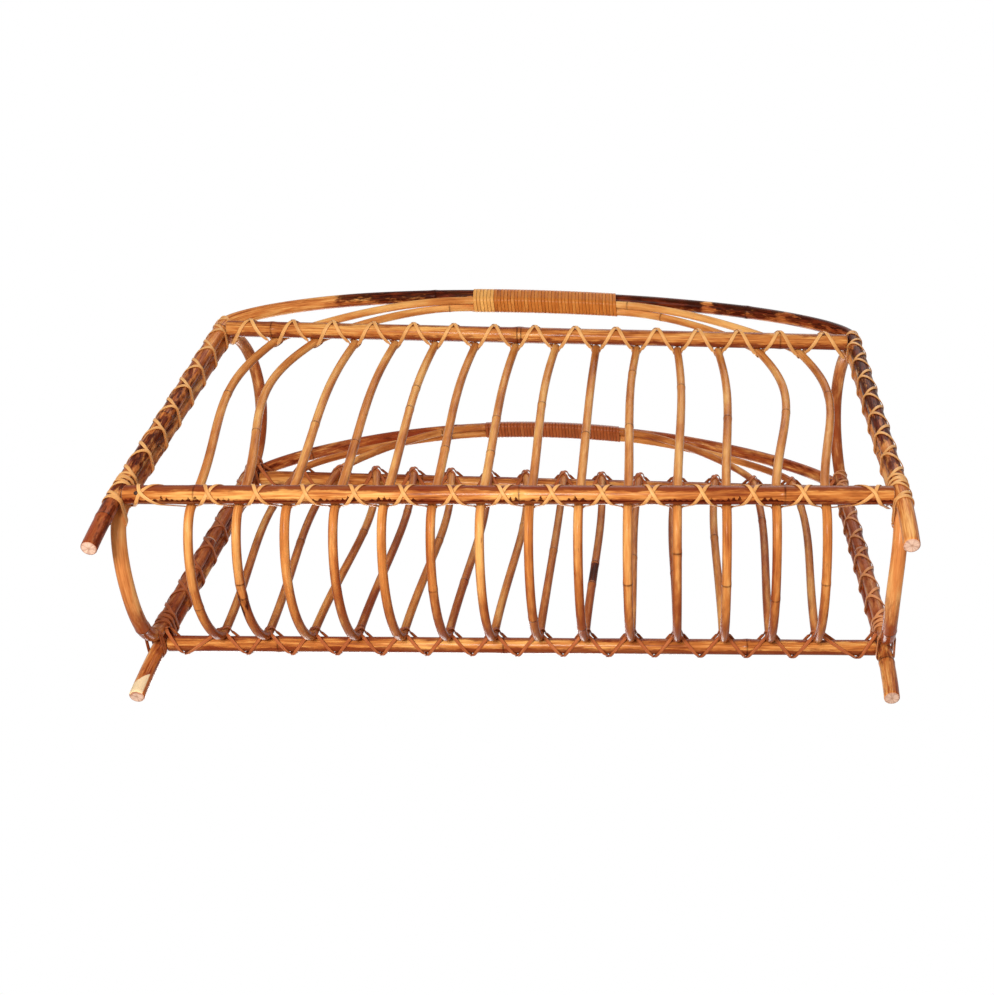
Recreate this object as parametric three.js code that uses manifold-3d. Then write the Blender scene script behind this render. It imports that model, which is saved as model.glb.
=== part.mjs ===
// A magazine rack of bent cane, standing on four feet, in millimetres with +Z up.
// X runs along the rods, Y across the rack, and the origin is on the floor under the middle.
// The near side is at -Y and the far side at +Y.

import * as THREE from 'three';
import { mergeVertices } from 'three/addons/utils/BufferGeometryUtils.js';
import Module from 'manifold-3d';

// The two side frames
const bottomSpan = 510;
const topLeanIn = 4.8;
const footLeanIn = 2.3;
const topSpan = bottomSpan - 2 * topLeanIn;
const footSpan = bottomSpan - 2 * footLeanIn;
const bottomDepth = 127;
const topDepth = 141.2;
const bottomRodHeight = 55;
const rodRise = 217;
const archRise = 85;
const archLean = 6;
const shoulderLift = 1;
const frameRadius = 5.2;

// Age has turned the top of the rack against its feet, by this much at each end of the top rods
const topTwist = 7.8;

// The rods along the sides
const rodRadius = 6.2;
const farBottomRodRadius = 5.5;
const rodNodeSwell = 0.4;
const rodNodeLength = 5;
const rodNodePitch = 168;

// The ribs, numbered from left to right
const ribCount = 14;
const ribEndInset = 47;
const ribRadius = 3.1;
const ribSag = 26;
const ribTopOverrun = 0.5;
const ribBow = 20;
const handleLeaveShare = 0.09;
const handleArriveShare = 0.4;

// The two end hoops
const hoopRadius = 4.85;
const hoopSag = 29;
const hoopRise = 43;
const hoopLean = 4;

// Cane laid against cane keeps this clearance
const clearance = 0.35;

// Shapes of the bends: the power of the cosine that a bend follows, and where a rib bows most
const leftArchBendShare = 1.5;
const rightArchBendShare = 1.3;
const sagBendShare = 1.4;
const bowPeakShare = 1.7;

// Each rib's bow along X, as shares of the most that a rib bows, from left to right
const nearBowShares = [
  -0.8, -1, -0.3, -0.25, -0.2, -0.2, -0.15, -0.18, -0.05, -0.15, 0.15, 0.25, 0.8, 0.8,
];
const farBowShares = [
  -0.48, -0.35, 0.45, 0.3, 0.35, 0.25, 0.3, 0.05, 0.15, -0.1, -0.2, -0.15, 0.2, 0.3,
];

// Heights of the balls that stand for a leaning cane, in its radius
const ballShares = [-0.9, -0.6, -0.3, 0, 0.3, 0.6, 0.9];

// The arch's stations crowd towards its shoulders, where it bends most
const shoulderCrowdShare = 0.35;

// The handle wraps, each wound over three canes
const wrapLength = 123;
const wrapTurns = 21;
const wrapStrandWidth = 5.1;
const wrapStrandThickness = 1;

// The leg bindings, each wound round a leg and an end hoop
const bindingWidth = 3;
const bindingThickness = 1;
const bindingClearance = 0.45;
const bindingOpenTurns = 13;
const bindingTightPitch = 4.6;
const bindingTightTurns = 2;
const bindingEndShare = 0.5;

// The lacings, two strands crossing on the outside of each rod between the ribs
const lacingWidth = 3;
const lacingThickness = 0.9;
const lacingStrandGap = 0.45;
const lacingEndInset = 18;

// The nail in the left end of the near bottom rod, turned down from the rack's outside
const nailInset = 15.5;
const nailTurnDegrees = 46;
const nailShankRadius = 0.9;
const nailHeadRadius = 2;
const nailHeadThickness = 0.8;
const nailLength = 9;

// Counts of faces and steps
const frameSides = 8;
const ribSides = 6;
const rodSides = 12;
const nailSides = 6;
const wrapSteps = 8;
const bindingSteps = 6;
const archSteps = 28;
const hoopTopSteps = 10;
const sagSteps = 11;
const sideSteps = 6;
const sweepSteps = 7;
const slotSteps = 5;
const footSteps = 3;

const colours = {
  frame: 0x7d3c1c,
  rod: 0xb9672c,
  rib: 0xc9772f,
  hoop: 0xb5652b,
  wrap: 0xcf8437,
  strand: 0xdd9f66,
  nail: 0x6b4a34,
};

const NEAR = -1;
const FAR = 1;
const LEFT = -1;
const RIGHT = 1;
const sideNames = new Map([[NEAR, 'near'], [FAR, 'far']]);
const endNames = new Map([[LEFT, 'left'], [RIGHT, 'right']]);

const topRodHeight = bottomRodHeight + rodRise;
const shoulderHeight = topRodHeight + rodRadius + shoulderLift;
const bottomHalfSpan = bottomSpan / 2;
const topHalfSpan = topSpan / 2;
const ribPitch = (bottomSpan - 2 * ribEndInset) / (ribCount - 1);
const depthSlope = (topDepth - bottomDepth) / 2 / rodRise;

const wasm = await Module();
wasm.setup();

const rack = new THREE.Group();

// A centre line through given stations, with one step of the section between each two.
class StationLine extends THREE.Curve {
  constructor(stations, firstDirection = null) {
    super();
    this.stations = stations;
    this.firstDirection = firstDirection;
  }

  getPoint(t, target = new THREE.Vector3()) {
    const place = t * (this.stations.length - 1);
    const low = Math.min(Math.floor(place), this.stations.length - 2);
    return target.lerpVectors(this.stations[low], this.stations[low + 1], place - low);
  }

  getPointAt(t, target) {
    return this.getPoint(t, target);
  }

  getTangentAt(t, target = new THREE.Vector3()) {
    const last = this.stations.length - 1;
    const index = Math.round(t * last);
    if (this.firstDirection && (index === 0 || index === last)) {
      return target.copy(this.firstDirection).multiplyScalar(index === 0 ? 1 : -1);
    }
    return target.copy(directionAt(this.stations, index));
  }
}

// The direction of a line at a station: halfway between the runs before and after it.
function directionAt(stations, index) {
  const here = stations[index];
  const before = stations[Math.max(index - 1, 0)];
  const after = stations[Math.min(index + 1, stations.length - 1)];
  const arriving = here.clone().sub(before).normalize();
  const leaving = after.clone().sub(here).normalize();
  return arriving.add(leaving).normalize();
}

function circleShape(radius, sides) {
  const corners = [];
  for (let i = 0; i < sides; i++) {
    const angle = (i / sides) * 2 * Math.PI;
    corners.push(new THREE.Vector2(radius * Math.cos(angle), radius * Math.sin(angle)));
  }
  return new THREE.Shape(corners);
}

function cane(stations, radius, sides, firstDirection = null) {
  return new THREE.ExtrudeGeometry(circleShape(radius, sides), {
    steps: stations.length - 1,
    bevelEnabled: false,
    extrudePath: new StationLine(stations, firstDirection),
  });
}

// A flat strand of split cane wound round a bundle. It folds at each station along the bundle's
// axis, which is also the direction that its width is measured in.
function strand(stations, outwards, axis, width, thickness) {
  const positions = [];
  const indices = [];
  const along = stations[1].clone().sub(stations[0]);
  const hand = along.dot(axis.clone().cross(outwards[0])) > 0 ? -1 : 1;
  const across = axis.clone().multiplyScalar((hand * width) / 2);
  stations.forEach((station, i) => {
    for (const [u, v] of [[-1, -1], [-1, 1], [1, 1], [1, -1]]) {
      const corner = station.clone();
      corner.addScaledVector(across, u);
      corner.addScaledVector(outwards[i], (v * thickness) / 2);
      positions.push(corner.x, corner.y, corner.z);
    }
  });
  const corners = 4;
  for (let i = 0; i + 1 < stations.length; i++) {
    for (let j = 0; j < corners; j++) {
      const a = i * corners + j;
      const b = i * corners + ((j + 1) % corners);
      indices.push(a, b, a + corners, b, b + corners, a + corners);
    }
  }
  const end = (stations.length - 1) * corners;
  indices.push(0, 2, 1, 0, 3, 2, end, end + 1, end + 2, end, end + 2, end + 3);
  const geometry = new THREE.BufferGeometry();
  geometry.setAttribute('position', new THREE.Float32BufferAttribute(positions, 3));
  geometry.setIndex(indices);
  return geometry;
}

// The twist moves each level of the rack sideways, more towards the ends and the top.
function twist(geometry) {
  const place = geometry.getAttribute('position');
  for (let i = 0; i < place.count; i++) {
    const share = (place.getZ(i) - bottomRodHeight) / rodRise;
    place.setY(i, place.getY(i) + (topTwist * share * place.getX(i)) / bottomHalfSpan);
  }
  return geometry;
}

function addPiece(name, geometry, colour, roughness, metalness = 0) {
  const material = new THREE.MeshStandardMaterial({ color: colour, roughness, metalness });
  const mesh = new THREE.Mesh(twist(geometry), material);
  mesh.name = name;
  rack.add(mesh);
}

// Half the depth between the two sides at a height, up to the top rods.
function halfDepth(height) {
  return bottomDepth / 2 + depthSlope * (height - bottomRodHeight);
}

// The arch goes on with the legs' outward slope and then leans in.
function archHalfDepth(height) {
  const over = Math.max(height - topRodHeight, 0);
  const bend = (archLean + depthSlope * archRise) / archRise ** 2;
  return topDepth / 2 + depthSlope * over - bend * over ** 2;
}

function archHeight(x) {
  const cosine = Math.sqrt(Math.max(1 - (x / topHalfSpan) ** 2, 0));
  const bend = x < 0 ? leftArchBendShare : rightArchBendShare;
  return shoulderHeight + (topRodHeight + archRise - shoulderHeight) * cosine ** bend;
}

function archPoint(side, x) {
  const height = archHeight(x);
  return new THREE.Vector3(x, side * archHalfDepth(height), height);
}

// Half the span between the legs at a height: they curve in at the feet and lean in above.
function halfSpanAt(height) {
  const share = Math.min(Math.max((height - bottomRodHeight) / rodRise, 0), 1);
  const below = Math.max(1 - height / bottomRodHeight, 0);
  const lean = (bottomHalfSpan - topHalfSpan) * share;
  return bottomHalfSpan - lean - (bottomHalfSpan - footSpan / 2) * below ** 2;
}

function legPoint(side, end, height) {
  return new THREE.Vector3(end * halfSpanAt(height), side * halfDepth(height), height);
}

// One side frame: a single cane from foot to foot, over the handle.
function sideFrame(side) {
  const heights = [];
  for (let i = 0; i <= footSteps; i++) heights.push((bottomRodHeight * i) / footSteps);
  const stations = heights.map((height) => legPoint(side, LEFT, height));
  for (let i = 0; i <= archSteps; i++) {
    const place = (2 * i) / archSteps - 1;
    const crowded = place + shoulderCrowdShare * (place - place ** 3);
    stations.push(archPoint(side, topHalfSpan * Math.sin((crowded * Math.PI) / 2)));
  }
  heights.reverse();
  stations.push(...heights.map((height) => legPoint(side, RIGHT, height)));
  const up = new THREE.Vector3(0, 0, 1);
  return cane(stations, frameRadius, frameSides, up);
}

function rodSizeAt(side, height) {
  return side === FAR && height === bottomRodHeight ? farBottomRodRadius : rodRadius;
}

function rodHalfLength(height) {
  return halfSpanAt(height) - frameRadius - clearance;
}

// A straight cane with its growth nodes, lying along X.
function rodGeometry(radius, halfLength) {
  const profile = [new THREE.Vector2(0, -halfLength), new THREE.Vector2(radius, -halfLength)];
  const nodeCount = Math.floor(halfLength / rodNodePitch) * 2 + 1;
  for (let i = 0; i < nodeCount; i++) {
    const middle = (i - (nodeCount - 1) / 2) * rodNodePitch;
    profile.push(new THREE.Vector2(radius, middle - rodNodeLength / 2));
    profile.push(new THREE.Vector2(radius - rodNodeSwell / 2, middle));
    profile.push(new THREE.Vector2(radius, middle + rodNodeLength / 2));
  }
  profile.push(new THREE.Vector2(radius, halfLength), new THREE.Vector2(0, halfLength));
  return new THREE.LatheGeometry(profile, rodSides).rotateZ(-Math.PI / 2);
}

function toSolid(geometry) {
  geometry.deleteAttribute('normal');
  geometry.deleteAttribute('uv');
  const merged = mergeVertices(geometry);
  const vertProperties = new Float32Array(merged.getAttribute('position').array);
  const triVerts = new Uint32Array(merged.getIndex().array);
  return new wasm.Manifold(new wasm.Mesh({ numProp: 3, vertProperties, triVerts }));
}

function toGeometry(solid) {
  const mesh = solid.getMesh();
  const geometry = new THREE.BufferGeometry();
  geometry.setAttribute('position', new THREE.Float32BufferAttribute(mesh.vertProperties, 3));
  geometry.setIndex(Array.from(mesh.triVerts));
  return geometry;
}

// What is made along +Y is turned towards the nail's place on the near bottom rod.
function placeNail(geometry) {
  geometry.rotateX(Math.PI + (nailTurnDegrees * Math.PI) / 180);
  return geometry.translate(nailInset - halfSpanAt(bottomRodHeight), 0, 0);
}

// The bore that the nail leaves, in from the surface of the rod.
function nailBore(radius) {
  const depth = nailLength + clearance;
  const bore = new THREE.CylinderGeometry(
    nailShankRadius + clearance,
    nailShankRadius + clearance,
    depth + radius,
    nailSides,
  );
  const outer = radius + nailHeadThickness;
  return placeNail(bore.translate(0, outer - (depth - radius) / 2, 0));
}

function sideRod(side, height) {
  const radius = rodSizeAt(side, height);
  let rod = rodGeometry(radius, rodHalfLength(height));
  if (side === NEAR && height === bottomRodHeight) {
    rod = toGeometry(toSolid(rod).subtract(toSolid(nailBore(radius))));
  }
  return rod.translate(0, side * halfDepth(height), height);
}

function nail() {
  const seat = rodRadius + clearance;
  const tip = seat + nailHeadThickness - nailLength;
  const profile = [
    new THREE.Vector2(0, tip),
    new THREE.Vector2(nailShankRadius, tip + nailShankRadius),
    new THREE.Vector2(nailShankRadius, seat),
    new THREE.Vector2(nailHeadRadius, seat),
    new THREE.Vector2(nailHeadRadius, seat + nailHeadThickness / 2),
    new THREE.Vector2(nailShankRadius, seat + nailHeadThickness),
    new THREE.Vector2(0, seat + nailHeadThickness),
  ];
  const geometry = placeNail(new THREE.LatheGeometry(profile, nailSides));
  return geometry.translate(0, NEAR * halfDepth(bottomRodHeight), bottomRodHeight);
}

// Ribs

function ribPlace(index) {
  return (index - (ribCount - 1) / 2) * ribPitch;
}

function ribMakesHandle(index) {
  return index < 2 || index >= ribCount - 2;
}

// How far a rib bows along X from the straight line between its places on the two rods.
function bowAt(index, side, height) {
  const shares = side === NEAR ? nearBowShares : farBowShares;
  const share = Math.min(Math.max((height - bottomRodHeight) / rodRise, 0), 1);
  const most = ribBow * shares[index % shares.length];
  return most * Math.sin(Math.PI * share ** bowPeakShare);
}

// From a rod's axis in to the axis of what lies against it.
function ribInset(side, height) {
  const share = Math.min(Math.max((height - bottomRodHeight) / rodRise, 0), 1);
  const lower = rodSizeAt(side, bottomRodHeight);
  return lower + (rodRadius - lower) * share + ribRadius + clearance;
}

function ribSidePoint(index, side, height) {
  const x = ribPlace(index) + bowAt(index, side, height);
  return new THREE.Vector3(x, side * (halfDepth(height) - ribInset(side, height)), height);
}

// A sag between two sides: an arc that starts upright at the bottom rods' height.
function sagPoint(x, nearReach, farReach, sag, angle) {
  const reach = angle < 0 ? nearReach : farReach;
  const height = bottomRodHeight - sag * Math.cos(angle) ** sagBendShare;
  return new THREE.Vector3(x, reach * Math.sin(angle), height);
}

function sagPoints(x, nearReach, farReach, sag) {
  const points = [];
  for (let i = 1; i < sagSteps; i++) {
    const angle = (i / sagSteps - 0.5) * Math.PI;
    points.push(sagPoint(x, nearReach, farReach, sag, angle));
  }
  return points;
}

function ribReach(side) {
  return halfDepth(bottomRodHeight) - ribInset(side, bottomRodHeight);
}

// The two slots under the arch inside a handle wrap: below the arch cane, and beside that.
function handleSlot(index, side, x) {
  const point = archPoint(side, x);
  point.z -= frameRadius + ribRadius + clearance;
  const inner = index === 1 || index === ribCount - 2;
  if (inner) point.y -= side * (2 * ribRadius + clearance);
  return point;
}

// The rest of an outer rib: over from the top rod to the wrap, and on to its middle.
function handleRun(index, side) {
  const end = Math.sign(ribPlace(index));
  const start = ribSidePoint(index, side, topRodHeight);
  const below = ribSidePoint(index, side, topRodHeight - rodRadius);
  const wrapStart = end * (wrapLength / 2 + wrapStrandWidth);
  const arrive = handleSlot(index, side, wrapStart);
  const inside = handleSlot(index, side, wrapStart - end * wrapStrandWidth);
  const leaving = start.clone().sub(below).normalize();
  const arriving = arrive.clone().sub(inside).normalize();
  const run = start.distanceTo(arrive);
  const sweep = new THREE.CubicBezierCurve3(
    start,
    start.clone().addScaledVector(leaving, run * handleLeaveShare),
    arrive.clone().addScaledVector(arriving, run * handleArriveShare),
    arrive,
  );
  const points = sweep.getPoints(sweepSteps).slice(1);
  for (let i = 1; i <= slotSteps; i++) {
    const x = wrapStart + (end * clearance - wrapStart) * (i / slotSteps);
    points.push(handleSlot(index, side, x));
  }
  return points;
}

function ribSide(index, side) {
  const points = [];
  for (let i = 0; i <= sideSteps; i++) {
    points.push(ribSidePoint(index, side, bottomRodHeight + (rodRise * i) / sideSteps));
  }
  if (ribMakesHandle(index)) points.push(...handleRun(index, side));
  else {
    const top = points[sideSteps].clone();
    top.z += ribTopOverrun;
    points.push(top);
  }
  return points;
}

function rib(index) {
  const stations = ribSide(index, NEAR).reverse();
  stations.push(...sagPoints(ribPlace(index), ribReach(NEAR), ribReach(FAR), ribSag));
  stations.push(...ribSide(index, FAR));
  return cane(stations, ribRadius, ribSides);
}

// End hoops

const hoopInset = frameRadius + hoopRadius + clearance;

// A hoop leans in where it leaves the legs, at its top and at its bottom.
function hoopX(height) {
  const above = Math.max((height - topRodHeight) / hoopRise, 0);
  const below = Math.max((bottomRodHeight - height) / hoopSag, 0);
  return halfSpanAt(Math.max(height, bottomRodHeight)) - hoopLean * (above ** 2 + below ** 2);
}

// Where a hoop runs beside a leg, or curves away from it below and above.
function hoopSidePoint(side, end, height) {
  const x = end * hoopX(height);
  if (height < bottomRodHeight) {
    const cosine = ((bottomRodHeight - height) / hoopSag) ** (1 / sagBendShare);
    const reach = halfDepth(bottomRodHeight) - hoopInset;
    return new THREE.Vector3(x, side * reach * Math.sqrt(1 - cosine ** 2), height);
  }
  if (height > topRodHeight) {
    const cosine = (height - topRodHeight) / hoopRise;
    const reach = halfDepth(topRodHeight) - hoopInset;
    return new THREE.Vector3(x, side * reach * Math.sqrt(1 - cosine ** 2), height);
  }
  return new THREE.Vector3(x, side * (halfDepth(height) - hoopInset), height);
}

// One hoop: a cane bent to a closed shape, whose two ends butt under the far leg's binding.
function endHoop(end) {
  const butt = bottomRodHeight + rodRise / 2;
  const reach = halfDepth(bottomRodHeight) - hoopInset;
  const topReach = halfDepth(topRodHeight) - hoopInset;
  const stations = [hoopSidePoint(FAR, end, butt - clearance)];
  stations.push(hoopSidePoint(FAR, end, bottomRodHeight));
  const sag = sagPoints(0, reach, reach, hoopSag).reverse();
  stations.push(...sag.map((point) => point.setX(end * hoopX(point.z))));
  stations.push(hoopSidePoint(NEAR, end, bottomRodHeight));
  for (let i = 0; i <= hoopTopSteps; i++) {
    const angle = (i / hoopTopSteps - 0.5) * Math.PI;
    const height = topRodHeight + hoopRise * Math.cos(angle);
    stations.push(new THREE.Vector3(end * hoopX(height), topReach * Math.sin(angle), height));
  }
  stations.push(hoopSidePoint(FAR, end, butt + clearance));
  return cane(stations, hoopRadius, frameSides);
}

// Windings

// How far a bundle of round canes reaches in a direction, with the winding's own offset.
function bundleReach(circles, angle, offset) {
  const reaches = circles.map(
    (circle) => circle.u * Math.cos(angle) + circle.v * Math.sin(angle) + circle.radius,
  );
  return Math.max(...reaches) + offset;
}

// A corner of the polygon that lies round the bundle, where two of its sides meet.
function bundleCorner(circles, step, steps, offset) {
  const first = (2 * Math.PI * step) / steps;
  const second = (2 * Math.PI * (step + 1)) / steps;
  const a = bundleReach(circles, first, offset);
  const b = bundleReach(circles, second, offset);
  const det = Math.sin(second - first);
  return {
    u: (a * Math.sin(second) - b * Math.sin(first)) / det,
    v: (b * Math.cos(first) - a * Math.cos(second)) / det,
    angle: (first + second) / 2,
  };
}

// A winding ends in a straight run as long as the strand is wide.
function addTails(stations, outwards, width) {
  const last = stations.length - 1;
  const before = stations[0].clone().sub(stations[1]).setLength(width);
  const after = stations[last].clone().sub(stations[last - 1]).setLength(width);
  stations.unshift(stations[0].clone().add(before));
  outwards.unshift(outwards[0]);
  stations.push(stations[last + 1].clone().add(after));
  outwards.push(outwards[last + 1]);
}

// The least gap between a winding's turns, measured on its points half a turn or more apart.
function reportLeastGap(name, stations, steps, width) {
  let least = Infinity;
  for (let i = 0; i < stations.length; i++) {
    for (let j = i + Math.ceil(steps / 2); j < stations.length; j++) {
      least = Math.min(least, stations[i].distanceTo(stations[j]) - width);
    }
  }
  console.log(`${name}: least gap between its turns ${least.toFixed(2)} mm`);
}

// A handle wrap: one strand wound along the arch cane and the two canes under it.
function handleWrap(side) {
  const slots = [handleSlot(0, side, 0), handleSlot(1, side, 0)];
  const middle = archPoint(side, 0);
  const circles = [{ u: 0, v: 0, radius: frameRadius }];
  for (const slot of slots) {
    circles.push({ u: slot.y - middle.y, v: slot.z - middle.z, radius: ribRadius });
  }
  const offset = clearance + wrapStrandThickness / 2;
  const stations = [];
  const outwards = [];
  for (let i = 0; i <= wrapTurns * wrapSteps; i++) {
    const corner = bundleCorner(circles, i % wrapSteps, wrapSteps, offset);
    const run = wrapLength - wrapStrandWidth;
    const x = (i / (wrapTurns * wrapSteps) - 0.5) * run;
    const point = archPoint(side, x);
    point.y += corner.u;
    point.z += corner.v;
    stations.push(point);
    const out = new THREE.Vector3(0, Math.cos(corner.angle), Math.sin(corner.angle));
    outwards.push(out.divideScalar(Math.cos(Math.PI / wrapSteps)));
  }
  reportLeastGap(`${sideNames.get(side)}_handle_wrap`, stations, wrapSteps, wrapStrandWidth);
  addTails(stations, outwards, wrapStrandWidth);
  const axis = new THREE.Vector3(1, 0, 0);
  return strand(stations, outwards, axis, wrapStrandWidth, wrapStrandThickness);
}

// How high a leg binding has climbed after so many turns. It crosses the leg's inner face level
// at the end of each turn, and climbs past the end of a rod on the way round the outer face.
function bindingHeights() {
  const pass = rodRadius + bindingWidth / 2 + 2 * clearance;
  const low = bottomRodHeight - pass;
  const high = bottomRodHeight + pass;
  const tight = high + bindingTightPitch * bindingTightTurns;
  const crossing = 1 / bindingSteps;
  const open = 2 + bindingTightTurns + bindingOpenTurns;
  return [
    [0, low - bindingTightPitch],
    [1 - crossing, low],
    [1, low],
    [2 - crossing, high],
    [2, high],
    [2 + bindingTightTurns, tight],
    [open - crossing, topRodHeight - pass],
    [open, topRodHeight - pass],
    [open + 1 - crossing, topRodHeight + pass],
    [open + 1, topRodHeight + pass],
    [open + 1 + bindingEndShare, topRodHeight + pass + bindingTightPitch * bindingEndShare],
  ];
}

function tableValue(table, place) {
  const inside = Math.min(Math.max(place, 0), table[table.length - 1][0]);
  const next = Math.max(table.findIndex((row) => row[0] >= inside), 1);
  const [x0, y0] = table[next - 1];
  const [x1, y1] = table[next];
  return y0 + ((y1 - y0) * (inside - x0)) / (x1 - x0);
}

// The leg at a height, or the arch's shoulder above it.
function framePoint(side, end, height) {
  if (height <= shoulderHeight) return legPoint(side, end, height);
  const share = (height - shoulderHeight) / (topRodHeight + archRise - shoulderHeight);
  const cosine = share ** (1 / (end === LEFT ? leftArchBendShare : rightArchBendShare));
  return archPoint(side, end * topHalfSpan * Math.sqrt(1 - cosine ** 2));
}

// The circles that a level cut through a cane covers, taking the cane as balls along its axis.
function levelCut(pointAt, end, height, radius) {
  return ballShares.map((share) => {
    const middle = pointAt(height + share * radius);
    return { u: -end * middle.x, v: middle.y, radius: radius * Math.sqrt(1 - share ** 2) };
  });
}

// The canes inside a binding at a height: the leg, or the arch's shoulder, and the hoop.
function boundCircles(side, end, height) {
  return [
    ...levelCut((z) => framePoint(side, end, z), end, height, frameRadius),
    ...levelCut((z) => hoopSidePoint(side, end, z), end, height, hoopRadius),
  ];
}

// A leg binding: one strand from under the bottom rod to above the top rod.
function legBinding(side, end) {
  const table = bindingHeights();
  const turns = table[table.length - 1][0];
  const offset = bindingClearance + bindingThickness / 2;
  const stations = [];
  const outwards = [];
  for (let i = 0; i <= turns * bindingSteps; i++) {
    const height = tableValue(table, i / bindingSteps);
    const nearby = [-1, 0, 1].map(
      (step) => tableValue(table, (i + step) / bindingSteps) + (step * bindingWidth) / 2,
    );
    const circles = nearby.flatMap((level) => boundCircles(side, end, level));
    const corner = bundleCorner(circles, i % bindingSteps, bindingSteps, offset);
    stations.push(new THREE.Vector3(-end * corner.u, corner.v, height));
    const out = new THREE.Vector3(-end * Math.cos(corner.angle), Math.sin(corner.angle), 0);
    outwards.push(out.divideScalar(Math.cos(Math.PI / bindingSteps)));
  }
  const name = `${sideNames.get(side)}_${endNames.get(end)}_leg_binding`;
  reportLeastGap(name, stations, bindingSteps, bindingWidth);
  addTails(stations, outwards, bindingWidth);
  const axis = new THREE.Vector3(0, 0, 1);
  return strand(stations, outwards, axis, bindingWidth, bindingThickness);
}

// Lacings

// Where a rib's axis lies at a height near a rod, past the rod's own height too.
function ribAxis(index, side, height) {
  if (height < bottomRodHeight) {
    const cosine = ((bottomRodHeight - height) / ribSag) ** (1 / sagBendShare);
    const y = side * ribReach(side) * Math.sqrt(1 - cosine ** 2);
    return new THREE.Vector3(ribPlace(index), y, height);
  }
  if (height <= topRodHeight) return ribSidePoint(index, side, height);
  const top = ribSidePoint(index, side, topRodHeight);
  if (!ribMakesHandle(index)) return top.setZ(height);
  const run = [top, ...handleRun(index, side)];
  const next = run.findIndex((point) => point.z > height);
  const share = (height - run[next - 1].z) / (run[next].z - run[next - 1].z);
  return run[next - 1].clone().lerp(run[next], share);
}

// One strand of a lacing: out over the rod, across its outside, back under it and in
// behind the next rib. The other strand is its mirror image, one layer further out.
function lacingStrand(side, height, first) {
  const layer = first ? 0 : lacingThickness + lacingStrandGap;
  const hand = first ? 1 : -1;
  const rise = rodSizeAt(side, height) + clearance + lacingThickness / 2 + layer;
  const rodY = side * halfDepth(height);
  const stations = [];
  const outwards = [];
  const add = (x, y, up, outY, outZ) => {
    stations.push(new THREE.Vector3(x, y, height + up));
    outwards.push(new THREE.Vector3(0, outY, outZ));
  };
  const across = (from, to) => {
    add(from, rodY + side * rise, hand * rise, side, hand);
    add(to, rodY + side * rise, -hand * rise, side, -hand);
  };
  const quarter = ribPitch / 4;
  const besideRib = (i, step, up) => {
    const radius = ribRadius + lacingThickness / 2;
    const reaches = ballShares.map((share) => {
      const axis = ribAxis(i, side, height + up + share * radius);
      return step * axis.x + radius * Math.sqrt(1 - share ** 2);
    });
    const x = step * (Math.max(...reaches) + lacingWidth / 2 + clearance);
    return ribAxis(i, side, height + up).setX(x);
  };
  const outOfRib = (i, step, up) => {
    const plain = step * ribPlace(i) + quarter;
    return step * Math.max(plain, step * besideRib(i, step, up).x);
  };
  const leftEnd = lacingEndInset - halfSpanAt(height);
  add(leftEnd - lacingWidth, rodY, hand * rise, 0, hand);
  across(leftEnd, outOfRib(0, -1, -hand * rise));
  for (let i = 0; i < ribCount; i++) {
    for (const step of [-1, 1]) {
      const up = step * hand * rise;
      const point = besideRib(i, step, up);
      const inset = ribRadius + clearance + lacingThickness / 2 + layer;
      add(point.x, point.y - side * inset, up, -side, step * hand);
    }
    const next = i + 1 < ribCount ? outOfRib(i + 1, -1, -hand * rise) : -leftEnd;
    across(outOfRib(i, 1, hand * rise), next);
  }
  add(lacingWidth - leftEnd, rodY, -hand * rise, 0, -hand);
  const axis = new THREE.Vector3(1, 0, 0);
  return strand(stations, outwards, axis, lacingWidth, lacingThickness);
}

// The assembly

for (const side of [NEAR, FAR]) {
  const sideName = sideNames.get(side);
  addPiece(`${sideName}_frame`, sideFrame(side), colours.frame, 0.42);
  addPiece(`${sideName}_handle_wrap`, handleWrap(side), colours.wrap, 0.5);
  for (const [level, height] of [['top', topRodHeight], ['bottom', bottomRodHeight]]) {
    const rodName = `${sideName}_${level}_rod`;
    addPiece(rodName, sideRod(side, height), colours.rod, 0.4);
    addPiece(`${rodName}_lacing_a`, lacingStrand(side, height, true), colours.strand, 0.55);
    addPiece(`${rodName}_lacing_b`, lacingStrand(side, height, false), colours.strand, 0.55);
  }
  for (const end of [LEFT, RIGHT]) {
    const name = `${sideName}_${endNames.get(end)}_leg_binding`;
    addPiece(name, legBinding(side, end), colours.strand, 0.55);
  }
}
addPiece('near_bottom_rod_nail', nail(), colours.nail, 0.5, 0.6);
for (const end of [LEFT, RIGHT]) {
  addPiece(`${endNames.get(end)}_end_hoop`, endHoop(end), colours.hoop, 0.4);
}
for (let i = 0; i < ribCount; i++) {
  addPiece(`rib_${String(i + 1).padStart(2, '0')}`, rib(i), colours.rib, 0.38);
}

export default rack;
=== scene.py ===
import math

import bpy
import numpy as np
from mathutils import Matrix


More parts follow.
